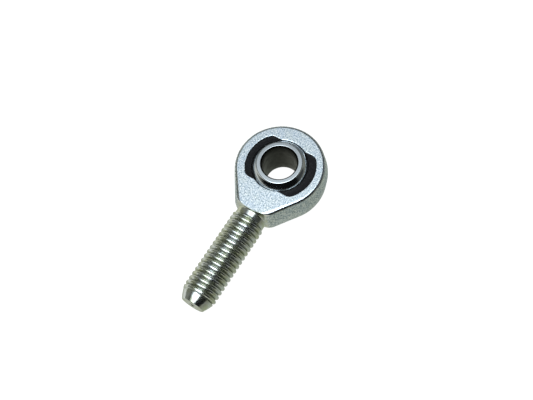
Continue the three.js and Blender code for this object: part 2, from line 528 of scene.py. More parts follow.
@dataclass(frozen=True)
class MouldedNylon(Finish):
    """Black glass-filled nylon, injection moulded.

    The glass gives the skin a fine matt mottle, a little greyer where fibres lie at the surface.
    Fibres are about 0.01 mm thick, so the mottle is drawn as patches of 0.5 mm instead.
    """

    black: str = "#0e0d0f"
    grey: str = "#1f1e20"
    mottle_mm: float = 0.5
    fibre_levels: tuple[float, float] = (0.45, 0.75)
    ior: float = 1.53
    gloss: float = 0.16
    roughness_low: float = 0.42
    roughness_high: float = 0.6
    relief_mm: float = 0.02
    relief_strength: float = 0.3

    def pattern(self, tree: bpy.types.NodeTree) -> dict[str, Any]:
        """Build the mottle.

        Args:
            tree: The material's tree.

        Returns:
            The shader's inputs.
        """
        place = add_node(tree, "ShaderNodeTexCoord").outputs["Object"]
        mottle = add_node(
            tree,
            "ShaderNodeTexNoise",
            {"Vector": place, "Scale": 1 / (self.mottle_mm * MM), "Detail": 3.0},
        ).outputs["Fac"]
        fibres = add_node(
            tree,
            "ShaderNodeMapRange",
            (mottle, *self.fibre_levels),
            interpolation_type="SMOOTHSTEP",
        )
        roughness = add_node(
            tree,
            "ShaderNodeMapRange",
            (mottle, *NOISE_SPREAD, self.roughness_high, self.roughness_low),
        )
        look = self.toned_relief(
            tree,
            fibres.outputs["Result"],
            (self.black, self.grey),
            mottle,
            (self.relief_mm, self.relief_strength),
        )
        return look | {
            "IOR": self.ior,
            "Specular IOR Level": self.gloss,
            "Roughness": roughness.outputs["Result"],
        }


# ---------------------------------------------------------------------------------------------
# Mesh work
# ---------------------------------------------------------------------------------------------


def lofted(loops: Sequence[Loop], wrapped: bool = False, capped: bool = False) -> bpy.types.Mesh:
    """Join closed loops of points into a skin of quads that faces outwards.

    Args:
        loops: Loops of equally many points each, in millimetres.
        wrapped: Whether the last loop joins the first one, as in a ring.
        capped: Whether the first and last loops are each closed with one flat face.

    Returns:
        The mesh, in metres, with smooth faces.
    """
    count = len(loops[0])
    points = np.concatenate(loops) * MM
    here = np.arange(count)
    after = (here + 1) % count
    rows = len(loops) if wrapped else len(loops) - 1
    faces: list[Any] = []
    for row in range(rows):
        low = row * count
        high = (row + 1) % len(loops) * count
        faces.extend(np.column_stack([low + here, low + after, high + after, high + here]).tolist())
    if capped:
        last = (len(loops) - 1) * count
        faces.append(here[::-1].tolist())
        faces.append((last + here).tolist())
    mesh = bpy.data.meshes.new("loft")
    mesh.from_pydata(points.tolist(), [], faces)
    mesh.validate()
    with_faces_out(mesh)
    return mesh


def with_faces_out(mesh: bpy.types.Mesh) -> None:
    """Weld a mesh, turn its faces outwards and shade it smooth.

    Args:
        mesh: The mesh, which is changed in place.
    """
    work = bmesh.new()
    work.from_mesh(mesh)
    bmesh.ops.remove_doubles(work, verts=work.verts, dist=WELD_MM * MM)
    bmesh.ops.recalc_face_normals(work, faces=work.faces)
    for face in work.faces:
        face.smooth = True
    work.to_mesh(mesh)
    work.free()


def turned(profile: Profile, segments: int, about_y: bool = False) -> list[Loop]:
    """Spin a profile of (radius, height) points.

    Args:
        profile: The points, in millimetres.
        segments: How many points each loop has.
        about_y: Whether the axis is Y, as on the shank. It is Z if not.

    Returns:
        One loop for each point of the profile.
    """
    turn = np.arange(segments) * math.tau / segments
    loops = []
    for radius, height in profile:
        level = np.full(segments, height)
        if about_y:
            loops.append(np.column_stack([-radius * np.sin(turn), level, radius * np.cos(turn)]))
        else:
            loops.append(np.column_stack([radius * np.cos(turn), radius * np.sin(turn), level]))
    return loops


def loop_at(turn: np.ndarray, distance: np.ndarray, height: Any) -> Loop:
    """One loop of points round the Z axis.

    Args:
        turn: The angle of each point, in radians.
        distance: The distance of each point from the axis.
        height: The height of each point, or of them all.

    Returns:
        The points.
    """
    level = np.broadcast_to(height, turn.shape)
    return np.column_stack([np.cos(turn) * distance, np.sin(turn) * distance, level])


def mirrored(loops: Sequence[Loop]) -> list[Loop]:
    """The same loops below the middle plane, in the opposite order."""
    return [points * np.array([1, 1, -1]) for points in reversed(loops)]


def arc(
    centre: tuple[float, float], radius: float, start: float, end: float, steps: int
) -> Profile:
    """Points of a circular arc.

    Args:
        centre: The arc's centre, as (radius, height).
        radius: The arc's radius.
        start: The angle of the first point, in degrees from the radial direction.
        end: The angle of the last point.
        steps: How many parts the arc has.

    Returns:
        The points, as (radius, height).
    """
    angles = np.radians(np.linspace(start, end, steps + 1))
    return [(centre[0] + radius * math.cos(a), centre[1] + radius * math.sin(a)) for a in angles]


def smooth_min(first: np.ndarray, second: np.ndarray, reach: float) -> np.ndarray:
    """The smaller of two values, with a round transition as wide as reach."""
    overlap = np.maximum(reach - np.abs(first - second), 0) / reach
    return np.minimum(first, second) - overlap**2 * reach / 4


def new_piece(
    name: str, mesh: bpy.types.Mesh, materials: Sequence[bpy.types.Material]
) -> bpy.types.Object:
    """Put a mesh in the scene as a named piece with its materials.

    Args:
        name: The name of the piece and of its mesh.
        mesh: The mesh, in place.
        materials: The materials, in the order of the faces' indices.

    Returns:
        The piece.
    """
    mesh.name = name
    mesh.materials.clear()
    for material in materials:
        mesh.materials.append(material)
    piece = bpy.data.objects.new(name, mesh)
    bpy.context.scene.collection.objects.link(piece)
    return piece


def evaluated_copy(piece: bpy.types.Object) -> bpy.types.Mesh:
    """Make a plain mesh of what a piece's modifiers make.

    Args:
        piece: The piece with the modifiers.

    Returns:
        The new mesh.
    """
    bpy.context.view_layer.update()
    graph = bpy.context.evaluated_depsgraph_get()
    return bpy.data.meshes.new_from_object(piece.evaluated_get(graph), depsgraph=graph)


def united(first: bpy.types.Mesh, second: bpy.types.Mesh) -> bpy.types.Mesh:
    """Join two closed meshes into one closed mesh.

    Args:
        first: The main mesh.
        second: The mesh that is added to it.

    Returns:
        The union, as a new mesh.
    """
    base = new_piece("union_base", first, [])
    tool = new_piece("union_tool", second, [])
    join = base.modifiers.new("union", "BOOLEAN")
    join.operation = "UNION"
    join.solver = "EXACT"
    join.object = tool
    mesh = evaluated_copy(base)
    bpy.data.objects.remove(base)
    bpy.data.objects.remove(tool)
    return mesh


# ---------------------------------------------------------------------------------------------
# Thread
# ---------------------------------------------------------------------------------------------


@dataclass
class Thread:
    """A right-handed rolled thread between the neck and the chamfered tip.

    Rolling leaves the crests round, so each turn is two arcs joined by a straight flank.
    """

    radius: float = 6.0
    pitch: float = 1.75
    crest_radius: float = 0.6
    root_radius: float = 0.09
    flank_slope: float = math.tan(math.radians(60))
    start_y: float = -20.85
    end_y: float = -53.2
    rise_length: float = 0.5
    segments: int = 96
    rows: int = 430

    def tree(self) -> bpy.types.GeometryNodeTree:
        """Build the node tree that bends a flat grid into the thread.

        Returns:
            The tree. Its inputs are the sizes, in metres.
        """
        tree = bpy.data.node_groups.new("rolled_thread", "GeometryNodeTree")
        names = (
            "Outer Radius",
            "Pitch",
            "Crest Radius",
            "Root Radius",
            "Flank Slope",
            "Start",
            "End",
            "Rise Length",
            "Neck Radius",
            "Tip Radius",
            "Tip",
            "Tip Slope",
        )
        for name in names:
            tree.interface.new_socket(name, in_out="INPUT", socket_type="NodeSocketFloat")
        for name in ("Segments", "Rows"):
            tree.interface.new_socket(name, in_out="INPUT", socket_type="NodeSocketInt")
        tree.interface.new_socket("Finish", in_out="INPUT", socket_type="NodeSocketMaterial")
        tree.interface.new_socket("Geometry", in_out="OUTPUT", socket_type="NodeSocketGeometry")
        size = add_node(tree, "NodeGroupInput").outputs
        flat = add_node(tree, "GeometryNodeInputPosition")
        cell = add_node(tree, "ShaderNodeSeparateXYZ", (flat.outputs[0],)).outputs

        # Each row names a value, the sum that makes it, and what goes into the sum. The grid is
        # one unit wide and long about its middle; its width is a turn, its length the thread.
        # Every sum is a Math node but SMOOTH, a smooth step from 0 to 1, which is a Map Range.
        sums = (
            ("columns", "ADD", "Segments", 1.0),
            ("turn", "ADD", "X", 0.5),
            ("down", "ADD", "Y", 0.5),
            ("angle", "MULTIPLY", "turn", math.tau),
            ("length", "SUBTRACT", "End", "Start"),
            ("height", "MULTIPLY_ADD", "down", "length", "Start"),
            # Distance from the middle of the nearest crest and root, along the shank
            ("fallen", "SUBTRACT", "Start", "height"),
            ("climb", "DIVIDE", "fallen", "Pitch"),
            ("wound", "SUBTRACT", "climb", "turn"),
            ("phase", "FRACT", "wound"),
            ("from middle", "SUBTRACT", "phase", 0.5),
            ("offset", "ABSOLUTE", "from middle"),
            ("from root", "MULTIPLY", "offset", "Pitch"),
            ("half pitch", "MULTIPLY", "Pitch", 0.5),
            ("from crest", "SUBTRACT", "half pitch", "from root"),
            # Each arc turns by the slope of the flank, which starts where the arc ends.
            ("steepness", "ARCTANGENT", "Flank Slope"),
            ("sine", "SINE", "steepness"),
            ("crest half", "MULTIPLY", "Crest Radius", "sine"),
            ("root half", "MULTIPLY", "Root Radius", "sine"),
            ("crest part", "MINIMUM", "from crest", "crest half"),
            ("root part", "MINIMUM", "from root", "root half"),
            ("crest flank", "SUBTRACT", "from crest", "crest part"),
            # How far the crest's arc and the flank drop, and the root's arc lifts
            ("crest square", "MULTIPLY", "Crest Radius", "Crest Radius"),
            ("crest part square", "MULTIPLY", "crest part", "crest part"),
            ("crest rest", "SUBTRACT", "crest square", "crest part square"),
            ("crest arc", "SQRT", "crest rest"),
            ("crest drop", "SUBTRACT", "Crest Radius", "crest arc"),
            ("flank drop", "MULTIPLY", "crest flank", "Flank Slope"),
            ("root square", "MULTIPLY", "Root Radius", "Root Radius"),
            ("root part square", "MULTIPLY", "root part", "root part"),
            ("root rest", "SUBTRACT", "root square", "root part square"),
            ("root arc", "SQRT", "root rest"),
            ("cosine", "COSINE", "steepness"),
            ("root end", "MULTIPLY", "Root Radius", "cosine"),
            ("root hollow", "SUBTRACT", "root arc", "root end"),
            ("in root", "SUBTRACT", "root half", "root part"),
            ("in root drop", "MULTIPLY", "in root", "Flank Slope"),
            ("root lift", "SUBTRACT", "in root drop", "root hollow"),
            ("outer drop", "ADD", "crest drop", "flank drop"),
            ("drop", "SUBTRACT", "outer drop", "root lift"),
            ("formed", "SUBTRACT", "Outer Radius", "drop"),
            # The tip's chamfer cuts the last turns, and the first turn rises out of the neck.
            ("beyond tip", "SUBTRACT", "height", "Tip"),
            ("chamfer", "MULTIPLY_ADD", "beyond tip", "Tip Slope", "Tip Radius"),
            ("cut", "MINIMUM", "formed", "chamfer"),
            ("out", "SUBTRACT", "cut", "Neck Radius"),
            ("run", "DIVIDE", "fallen", "Rise Length"),
            ("rise", "SMOOTH", "run"),
            ("radius", "MULTIPLY_ADD", "out", "rise", "Neck Radius"),
            ("angle sine", "SINE", "angle"),
            ("aside", "MULTIPLY", "radius", "angle sine"),
            ("side", "MULTIPLY", "aside", -1.0),
            ("angle cosine", "COSINE", "angle"),
            ("top", "MULTIPLY", "radius", "angle cosine"),
        )
        values: dict[Any, Any] = {name: size[name] for name in (*names, "Segments")}
        values |= {"X": cell["X"], "Y": cell["Y"]}
        for name, operation, *terms in sums:
            sources = [values.get(term, term) for term in terms]
            if operation == "SMOOTH":
                node = add_node(
                    tree, "ShaderNodeMapRange", sources, interpolation_type="SMOOTHSTEP"
                )
            else:
                node = add_node(tree, "ShaderNodeMath", sources, operation=operation)
            values[name] = node.outputs[0]
        grid = add_node(
            tree, "GeometryNodeMeshGrid", (1.0, 1.0, values["columns"], size["Rows"])
        )
        place = add_node(
            tree, "ShaderNodeCombineXYZ", (values["side"], values["height"], values["top"])
        )
        bent = add_node(
            tree,
            "GeometryNodeSetPosition",
            {"Geometry": grid.outputs["Mesh"], "Position": place.outputs["Vector"]},
        )
        closed = add_node(
            tree,
            "GeometryNodeMergeByDistance",
            {"Geometry": bent.outputs["Geometry"], "Distance": WELD_MM * MM},
        )
        realized = add_node(tree, "GeometryNodeRealizeInstances", (closed.outputs["Geometry"],))
        dressed = add_node(
            tree,
            "GeometryNodeSetMaterial",
            {"Geometry": realized.outputs["Geometry"], "Material": size["Finish"]},
        )
        add_node(tree, "NodeGroupOutput", (dressed.outputs["Geometry"],))
        return tree

    def mesh(
        self,
        neck_radius: float,
        tip: tuple[float, float],
        tip_slope: float,
        finish: bpy.types.Material,
    ) -> bpy.types.Mesh:
        """Run the node tree and give its skin, which is open at both ends.

        Args:
            neck_radius: Radius of the neck that the thread starts from.
            tip: Radius and height of the shank's end face.
            tip_slope: How fast the tip's chamfer widens.
            finish: The thread's material.

        Returns:
            The mesh, in metres.
        """
        sizes: dict[str, Any] = {
            "Outer Radius": self.radius * MM,
            "Pitch": self.pitch * MM,
            "Crest Radius": self.crest_radius * MM,
            "Root Radius": self.root_radius * MM,
            "Flank Slope": self.flank_slope,
            "Start": self.start_y * MM,
            "End": self.end_y * MM,
            "Rise Length": self.rise_length * MM,
            "Neck Radius": neck_radius * MM,
            "Tip Radius": tip[0] * MM,
            "Tip": tip[1] * MM,
            "Tip Slope": tip_slope,
            "Segments": self.segments,
            "Rows": self.rows,
            "Finish": finish,
        }
        holder = new_piece("thread_holder", bpy.data.meshes.new("thread_holder"), [])
        roll = holder.modifiers.new("thread", "NODES")
        roll.node_group = self.tree()
        for item in roll.node_group.interface.items_tree:
            if item.in_out == "INPUT":
                roll[item.identifier] = sizes[item.name]
        mesh = evaluated_copy(holder)
        holder.modifiers.remove(roll)
        bpy.data.objects.remove(holder)
        return mesh


# ---------------------------------------------------------------------------------------------
# Housing
# ---------------------------------------------------------------------------------------------


@dataclass
class Mouth:
    """The opening in each face of the eye: a round hole between two lips, and a slot."""

    face_height: float = 6.0
    cavity_radius: float = 11.9
    lip_sphere_radius: float = 11.28
    lip_thickness: float = 0.9
    slot_radius: float = 12.1
    slot_half_width: float = 8.6
    slot_offset: float = 0.3
    corner_radius: float = 2.6
    blend: float = 0.3
    settling_steps: int = 20

    @property
    def lip_foot(self) -> float:
        """Height of the lips' lower side, where the cavity starts."""
        return self.face_height - self.lip_thickness

    def slot(self, turn: np.ndarray) -> np.ndarray:
        """Distance from the ball's axis to the slot's wall, which sits a little towards +X.

        Args:
            turn: Angles round the ball's axis, in radians.

        Returns:
            The distances, in millimetres.
        """
        reach = self.centred_slot(turn)
        for _ in range(self.settling_steps):
            x = reach * np.cos(turn) - self.slot_offset
            y = reach * np.sin(turn)
            reach = reach + self.centred_slot(np.arctan2(y, x)) - np.hypot(x, y)
        return reach

    def centred_slot(self, turn: np.ndarray) -> np.ndarray:
        """Distance from the slot's own centre to its wall.

        Args:
            turn: Angles round the slot's centre, in radians.

        Returns:
            The distances, in millimetres.
        """
        across = np.abs(np.cos(turn))
        along = np.abs(np.sin(turn))
        corner_y = self.slot_half_width - self.corner_radius
        corner_x = math.sqrt((self.slot_radius - self.corner_radius) ** 2 - corner_y**2)
        centre = across * corner_x + along * corner_y
        aside = along * corner_x - across * corner_y
        rounded = centre + np.sqrt(np.maximum(self.corner_radius**2 - aside**2, 0))
        turned_by = np.arctan2(along, across)
        first = math.atan2(corner_y, corner_x)
        last = math.atan2(self.slot_half_width, corner_x)
        side = self.slot_half_width / np.maximum(along, 1e-6)
        wall = np.where(turned_by < first, self.slot_radius, rounded)
        return np.where(turned_by > last, side, wall)

    def hole(self, height: float) -> float:
        """Radius of the round hole at one height: behind the lips, or between them."""
        sphere = self.cavity_radius if abs(height) < self.lip_foot else self.lip_sphere_radius
        return math.sqrt(sphere**2 - height**2)

    def wall(self, turn: np.ndarray, height: float) -> np.ndarray:
        """Distance from the axis to the steel at one height, at each angle."""
        round_hole = np.full_like(turn, self.hole(height))
        return -smooth_min(-self.slot(turn), -round_hole, self.blend)

    def lipped(self, turn: np.ndarray, height: float) -> np.ndarray:
        """How far each angle is on a lip, from 0 in the slot to 1 between its ends."""
        return np.clip((self.hole(height) - self.slot(turn)) / self.blend + 0.5, 0, 1)


@dataclass
class Eye:
    """The forged eye: a round that runs into two flanks, ended by a turned cone.

    Breaks are the widths and depths of the small rounds where an opening meets a face.
    """

    radius: float = 16.1
    draft: float = 0.6
    edge_radius: float = 1.2
    face_flank_angle: float = math.radians(38)
    parting_flank_angle: float = math.radians(34.3)
    shoulder_y: float = -18.85
    shoulder_radius: float = 5.45
    shoulder_slope: float = 0.45
    shoulder_blend: float = 0.9
    parting_half_width: float = 0.3
    lip_break: tuple[float, float] = (0.3, 0.22)
    slot_break: tuple[float, float] = (0.22, 0.18)
    edge_hold: float = 0.12
    cavity_heights: tuple[float, ...] = (0.0, 1.5, 3.0, 4.2)
    waviness: float = 0.035
    wave_length: float = 5.0
    wave_seed: int = 7
    still_radius: float = 13.3
    still_radius_fade: float = 1.5
    still_y: float = -18.0
    still_y_fade: float = 2.0
    settling_steps: int = 30
    points: int = 420
    mouth: Mouth = field(default_factory=Mouth)

    def cone(self, turn: np.ndarray, height: float) -> np.ndarray:
        """Distance from the axis to the turned cone, at each angle and one height.

        Args:
            turn: Angles round the bore's axis, in radians.
            height: Height above the middle plane.

        Returns:
            The distances, which are very large where the cone isn't met.
        """
        run, rise = np.cos(turn), np.sin(turn)
        foot = self.shoulder_y - self.shoulder_radius * self.shoulder_slope
        first_guess, unmet = 20.0, 60.0
        reach = np.full_like(turn, first_guess)

        # The cone's height depends on the distance that is sought, so it is closed in on. Only
        # directions within 60 degrees of the shank meet it.
        for _ in range(self.settling_steps):
            spread = np.sqrt((reach * run) ** 2 + height**2)
            target = (foot + spread * self.shoulder_slope) / np.minimum(rise, -1e-3)
            reach = np.clip(0.5 * reach + 0.5 * target, 1.0, unmet)
        return np.where(rise < -0.5, reach, unmet)

    def outline(self, turn: np.ndarray, radius: float, height: float) -> np.ndarray:
        """Distance from the axis to the eye's outside, at each angle and one height.

        Args:
            turn: Angles round the bore's axis, in radians.
            radius: Radius of the round part of this outline.
            height: Height above the middle plane.

        Returns:
            The distances, in millimetres.
        """
        # The flank's angle goes from the parting line's to the face's as the outline draws in.
        inset = (self.radius - radius) / (self.draft + self.edge_radius)
        opening = self.face_flank_angle - self.parting_flank_angle
        flank_angle = self.parting_flank_angle + inset * opening
        from_shank = np.abs(np.angle(np.exp(1j * (turn + math.pi / 2))))
        from_flank = math.pi / 2 - flank_angle - from_shank
        flank = radius / np.maximum(np.cos(np.maximum(from_flank, 0)), 0.2)
        return smooth_min(flank, self.cone(turn, height), self.shoulder_blend)

    def opening_loops(self, turn: np.ndarray) -> list[Loop]:
        """Loops over the cavity's wall, a lip or slot end, and the broken edge of the face.

        Args:
            turn: Angles round the bore's axis, in radians.

        Returns:
            The loops, in millimetres, from the middle plane up.
        """
        mouth, top = self.mouth, self.mouth.face_height

        # The step under the lips lies between two loops this far above and below their foot.
        step = 0.05
        heights = (*self.cavity_heights, mouth.lip_foot - step)
        loops = [loop_at(turn, mouth.wall(turn, z), z) for z in heights]
        lipped = mouth.lipped(turn, top)
        width = self.slot_break[0] + (self.lip_break[0] - self.slot_break[0]) * lipped
        depth = self.slot_break[1] + (self.lip_break[1] - self.slot_break[1]) * lipped
        edge = mouth.wall(turn, top - self.lip_break[0])
        foot = mouth.lip_foot + step
        start = mouth.wall(turn, foot)
        for share in (0.0, 0.5):
            height = foot + (top - depth - foot) * share
            loops.append(loop_at(turn, start + (edge - start) * share, height))

        # The round goes outwards from the opening's edge, square to the edge.
        rim = loop_at(turn, edge, top)[:, :2]
        along = np.roll(rim, -1, axis=0) - np.roll(rim, 1, axis=0)
        outward = np.column_stack([along[:, 1], -along[:, 0]])
        outward /= np.linalg.norm(outward, axis=1, keepdims=True)
        for angle in np.radians(np.linspace(0, 90, 7)):
            inset = rim + outward * (width * (1 - math.cos(angle)))[:, None]
            loops.append(np.column_stack([inset, top - depth * (1 - math.sin(angle))]))
        return loops

    def loops(self) -> list[Loop]:
        """Loops over the upper half, from the middle of the hole to the parting line.

        Returns:
            The loops, in millimetres.
        """
        turn = np.arange(self.points) * math.tau / self.points - math.pi / 2
        top = self.mouth.face_height
        face_radius = self.radius - self.draft - self.edge_radius
        loops = self.opening_loops(turn)

        # The flat face, with a loop close to each edge that keeps it flat
        inner = loops[-1]
        outer = loop_at(turn, self.outline(turn, face_radius, top), top)
        span = np.linalg.norm(outer - inner, axis=1, keepdims=True)
        for share in (self.edge_hold / span, 0.33, 0.66, 1 - self.edge_hold / span):
            loops.append(inner + (outer - inner) * share)

        # The outer edge's round, and the drafted wall down to the parting line
        for angle in np.radians(np.linspace(90, 0, 11)):
            radius = self.radius - self.draft - self.edge_radius * (1 - math.cos(angle))
            height = top - self.edge_radius * (1 - math.sin(angle))
            loops.append(loop_at(turn, self.outline(turn, radius, height), height))
        wall_top = top - self.edge_radius
        for share in (0.12, 0.3, 0.5, 0.7, 0.88, 1.0):
            radius = self.radius - self.draft * (1 - share)
            height = wall_top + (self.parting_half_width - wall_top) * share
            loops.append(loop_at(turn, self.outline(turn, radius, height), height))
        return loops

    def waved(self, mesh: bpy.types.Mesh) -> None:
        """Move the points of the outside a little, as forging dies and blasting leave them.

        Args:
            mesh: The eye. It is changed in place, and only in X and Y, so its faces stay flat.
        """
        noise.seed_set(self.wave_seed)
        for vertex in mesh.vertices:
            point = vertex.co / MM
            spread = math.hypot(point.x, point.y)
            past_mouth = (spread - self.still_radius) / self.still_radius_fade
            past_shank = (point.y - self.still_y) / self.still_y_fade
            away = min(max(past_mouth, 0), 1) * min(max(past_shank, 0), 1)
            if away == 0:
                continue
            push = noise.noise_vector(point / self.wave_length) * self.waviness * away
            push.z = 0
            vertex.co += push * MM

    def mesh(self) -> bpy.types.Mesh:
        """Make the whole eye as one closed ring.

        Returns:
            The mesh, in metres.
        """
        upper = self.loops()
        mesh = lofted([*upper, *mirrored(upper[1:])], wrapped=True)
        self.waved(mesh)
        return mesh


@dataclass
class Shank:
    """Neck, thread, chamfered tip and centre hole."""

    neck_radius: float = 5.45
    shoulder_y: float = -18.85
    shoulder_slope: float = 0.45
    fillet_radius: float = 0.5
    fillet_turn: float = 60.0
    join_y: float = -20.3
    plug_y: float = -17.2
    plug_radius: float = 4.0
    tip_y: float = -54.75
    tip_radius: float = 4.2
    tip_chamfer_length: float = 4.2
    tip_edge_radius: float = 0.28
    centre_hole_radius: float = 1.1
    centre_hole_depth: float = 1.3
    centre_hole_break: float = 0.16
    thread: Thread = field(default_factory=Thread)

    @property
    def tip_slope(self) -> float:
        """How fast the chamfer widens away from the tip."""
        return (self.thread.radius - self.tip_radius) / self.tip_chamfer_length

    def plug(self) -> bpy.types.Mesh:
        """Make the neck's root, as a closed solid that reaches into the eye.

        Returns:
            The mesh, in metres.
        """
        turn_angle = math.radians(90) - math.atan(self.shoulder_slope)
        start_y = self.shoulder_y - self.fillet_radius * math.tan(turn_angle / 2)
        centre = (self.neck_radius + self.fillet_radius, start_y)
        fillet = arc(centre, self.fillet_radius, 180, 180 - self.fillet_turn, 8)
        reach, end_y = fillet[-1]

        # Past the fillet the plug runs on inside the eye, where the union takes it away.
        profile = [
            (self.neck_radius, self.join_y),
            *fillet,
            (reach - 0.05, end_y + 0.5),
            (self.plug_radius, self.plug_y),
        ]
        return lofted(turned(profile, self.thread.segments, about_y=True), capped=True)

    def tip(self) -> bpy.types.Mesh:
        """Make the tip below the thread, with its centre hole, open where it meets the thread.

        Returns:
            The mesh, in metres.
        """
        lean = math.degrees(math.atan(self.tip_slope))
        end, face_y = self.thread.end_y, self.tip_y
        cone_end = (self.tip_radius + (end - face_y) * self.tip_slope, end)
        edge_centre = (self.tip_radius - 1.1 * self.tip_edge_radius, face_y + self.tip_edge_radius)
        edge = arc(edge_centre, self.tip_edge_radius, -lean, -90, 6)
        hole, hole_break = self.centre_hole_radius, self.centre_hole_break
        floor_y = face_y + self.centre_hole_depth
        profile = [
            cone_end,
            (0.5 * (cone_end[0] + edge[0][0]), 0.5 * (cone_end[1] + edge[0][1])),
            *edge,
            (edge[-1][0] - 0.1, face_y),
            (2 * hole, face_y),
            (hole + hole_break + 0.06, face_y),
            (hole + hole_break, face_y),
            (hole, face_y + hole_break),
            (hole, floor_y - 0.5 * hole),
            (0.5 * hole, floor_y - 0.25 * hole),
            (0.02, floor_y),
        ]
        mesh = lofted(turned(profile, self.thread.segments, about_y=True))
        work = bmesh.new()
        work.from_mesh(mesh)
        ends = [e for e in work.edges if e.is_boundary and e.verts[0].co.xz.length < 0.1 * MM]
        bmesh.ops.holes_fill(work, edges=ends)
        work.to_mesh(mesh)
        work.free()
        return mesh

    def neck(self) -> bpy.types.Mesh:
        """The plain length between the neck's root and the thread, open at both ends."""
        profile = [(self.neck_radius, self.join_y), (self.neck_radius, self.thread.start_y)]
        return lofted(turned(profile, self.thread.segments, about_y=True))

    def mesh(self, finish: bpy.types.Material) -> bpy.types.Mesh:
        """Make the shank below the neck's root, open where it joins it.

        Args:
            finish: The thread's material.

        Returns:
            The mesh, in metres.
        """
        tip = (self.tip_radius, self.tip_y)
        thread = self.thread.mesh(self.neck_radius, tip, self.tip_slope, finish)
        return welded([self.neck(), thread, self.tip()])


def welded(parts: Sequence[bpy.types.Mesh]) -> bpy.types.Mesh:
    """Put meshes together and weld the points that they share.

    Args:
        parts: The meshes. They are used up.

    Returns:
        One mesh with its faces outwards.
    """
    work = bmesh.new()
    for part in parts:
        work.from_mesh(part)
        bpy.data.meshes.remove(part)
    mesh = bpy.data.meshes.new("welded")
    work.to_mesh(mesh)
    work.free()
    with_faces_out(mesh)
    return mesh


@dataclass
class Housing:
    """The forging: eye and shank in one piece, with three finishes."""

    eye: Eye = field(default_factory=Eye)
    shank: Shank = field(default_factory=Shank)
    blasted: BlastedZinc = BlastedZinc("zinc plated blasted forging")
    turned: SmoothZinc = SmoothZinc("zinc plated turned steel")
    rolled: RolledZinc = RolledZinc("zinc plated rolled thread")
    sharp_angle: float = math.radians(32)
    cone_margin: float = 0.08

    def finish_of(self, centre: Vector) -> int:
        """Which of the three finishes a face has.

        Args:
            centre: The middle of the face, in metres.

        Returns:
            The index of the material: eye, turned faces or thread.
        """
        x, y, z = centre / MM
        spread = math.hypot(x, z)
        cone_y = self.eye.shoulder_y + (spread - self.eye.shoulder_radius) * self.eye.shoulder_slope
        thread = self.shank.thread
        chamfer_y = self.shank.tip_y + self.shank.tip_chamfer_length - thread.pitch / 2
        if chamfer_y < y < thread.start_y:
            return 2
        return 1 if y < cone_y + self.cone_margin else 0

    def build(self) -> bpy.types.Object:
        """Make the forging and dress it.

        Returns:
            The piece.
        """
        finishes = [self.blasted.material(), self.turned.material(), self.rolled.material()]
        body = united(self.eye.mesh(), self.shank.plug())
        join = self.shank.join_y * MM
        work = bmesh.new()
        work.from_mesh(body)

        # The plug's end and the point of the eye's cone, which stands out of it, lie inside the
        # shank and are taken away.
        ends = [f for f in work.faces if all(v.co.y - join < WELD_MM * MM for v in f.verts)]
        bmesh.ops.delete(work, geom=ends, context="FACES")
        work.to_mesh(body)
        work.free()
        mesh = welded([body, self.shank.mesh(finishes[2])])
        mesh.set_sharp_from_angle(angle=self.sharp_angle)
        piece = new_piece("housing_forging", mesh, finishes)
        for face in mesh.polygons:
            face.material_index = self.finish_of(face.center)
        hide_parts("housing")
        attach(piece, "housing")
        return piece


# ---------------------------------------------------------------------------------------------
# Liner and ball
# ---------------------------------------------------------------------------------------------


@dataclass
class Liner:
    """The moulded race: a thin ring round the ball that fills the two ends of the slot."""

    seat_radius: float = 11.16
    half_thickness: float = 5.72
    steel_gap: float = 0.03
    edge_radius: float = 0.16
    sink: float = 0.1
    full_sink_width: float = 2.5
    sharp_angle: float = math.radians(50)
    points: int = 360
    finish: MouldedNylon = MouldedNylon("moulded black nylon")
    mouth: Mouth = field(default_factory=Mouth)

    def loops(self) -> list[Loop]:
        """Loops over the upper half, from the middle of the seat to the middle of the outside.

        Returns:
            The loops, in millimetres.
        """
        turn = np.arange(self.points) * math.tau / self.points
        top = self.half_thickness

        def seat(height: float) -> np.ndarray:
            """The seat's radius at one height, for every angle."""
            return np.full_like(turn, math.sqrt(self.seat_radius**2 - height**2))

        def outside(height: float) -> np.ndarray:
            """The moulding's outside at one height, just clear of the steel."""
            return self.mouth.wall(turn, height) - self.steel_gap

        edge = self.edge_radius
        below = top - edge
        loops = [loop_at(turn, seat(z), z) for z in np.linspace(0, below, 9)]
        inner, outer = seat(below), outside(below)
        width = outer - inner
        soft = np.minimum(edge, 0.4 * width)
        for angle in np.radians((30, 60, 90)):
            inset = soft * (1 - math.cos(angle))
            loops.append(loop_at(turn, inner + inset, below + edge * math.sin(angle)))

        # The top sinks a little where it is wide, as thick nylon does when it cools.
        flat = width - 2 * soft
        dish = self.sink * np.clip(flat / self.full_sink_width, 0, 1)
        for share in (0.15, 0.35, 0.5, 0.65, 0.85):
            level = top - dish * math.sin(math.pi * share) ** 0.6
            loops.append(loop_at(turn, inner + soft + flat * share, level))
        for angle in np.radians((90, 60, 30)):
            inset = soft * (1 - math.cos(angle))
            loops.append(loop_at(turn, outer - inset, below + edge * math.sin(angle)))
        foot, step = self.mouth.lip_foot, 0.05
        for height in (below, foot + step, foot - step, 4.0, 2.5, 1.2, 0.0):
            loops.append(loop_at(turn, outside(height), height))
        return loops

    def build(self) -> bpy.types.Object:
        """Make the liner and dress it.

        Returns:
            The piece.
        """
        upper = self.loops()
        mesh = lofted([*upper, *mirrored(upper[1:-1])], wrapped=True)
        mesh.set_sharp_from_angle(angle=self.sharp_angle)
        piece = new_piece("liner_moulding", mesh, [self.finish.material()])
        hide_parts("liner")
        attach(piece, "housing")
        return piece


